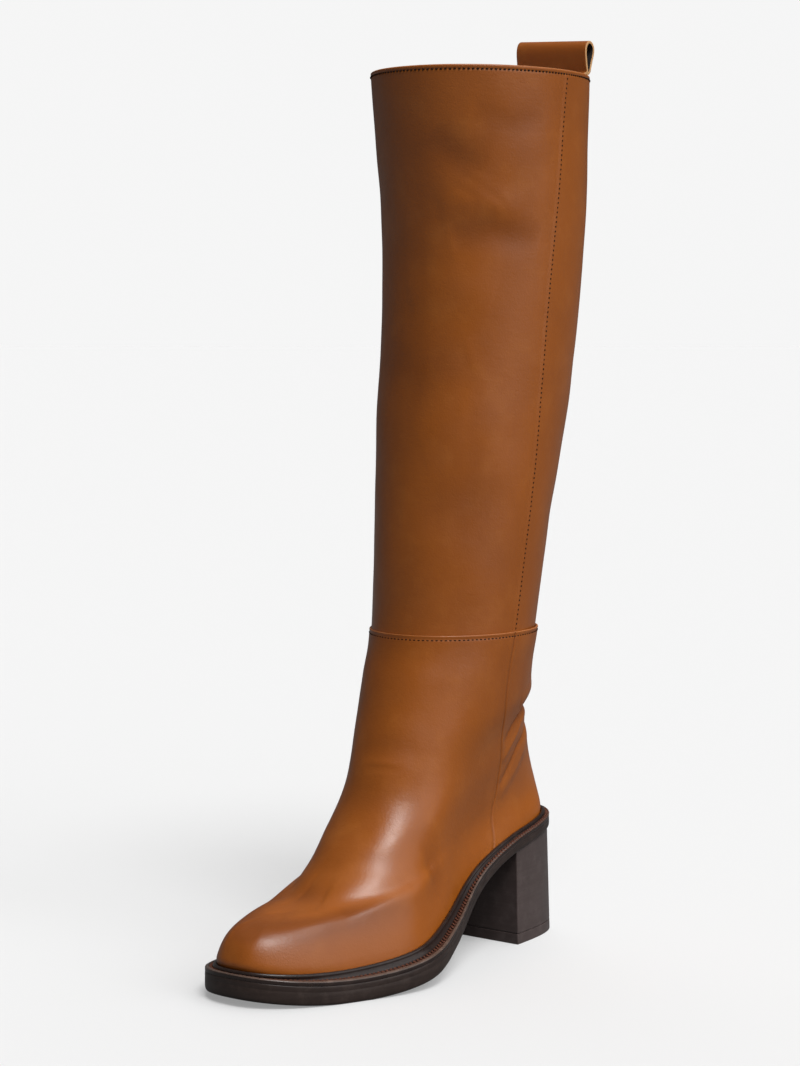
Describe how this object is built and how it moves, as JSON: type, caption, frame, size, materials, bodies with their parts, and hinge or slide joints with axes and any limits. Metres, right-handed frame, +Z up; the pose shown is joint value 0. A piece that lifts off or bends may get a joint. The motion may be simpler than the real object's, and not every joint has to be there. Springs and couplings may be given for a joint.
{
  "type": "knee-high boot",
  "caption": "Tall pull-on leather boot with a rounded toe, a storm welt all round, a thick sole and a straight block heel; hollow from the collar to the toe, with a pull loop at the back.",
  "frame": {"origin": "on the ground, in the middle of the boot's bounding box", "axes": "+Z up the leg, -Y towards the toe, +X towards the outer, little-toe side of the left foot"},
  "size_m": [0.1146, 0.2812, 0.5129],
  "materials": {
    "sole_rubber": "satin dark brown rubber with fine lines along the edge",
    "welt": "polished near-black brown rib over a stitched shelf",
    "heel": "satin dark brown stacked lifts",
    "upper_leather": "burnished cognac calf with a soft sheen and fine creases",
    "lining": "matt natural lining leather",
    "loop_leather": "cognac strap leather with raw tan edges"
  },
  "bodies": {
    "root": {"outsole": "sole_rubber", "welt": "welt", "heel_block": "heel", "heel_top_piece": "sole_rubber", "upper": "upper_leather", "shaft": "upper_leather", "insole": "lining", "pull_loop": "loop_leather"}
  },
  "joints": []
}
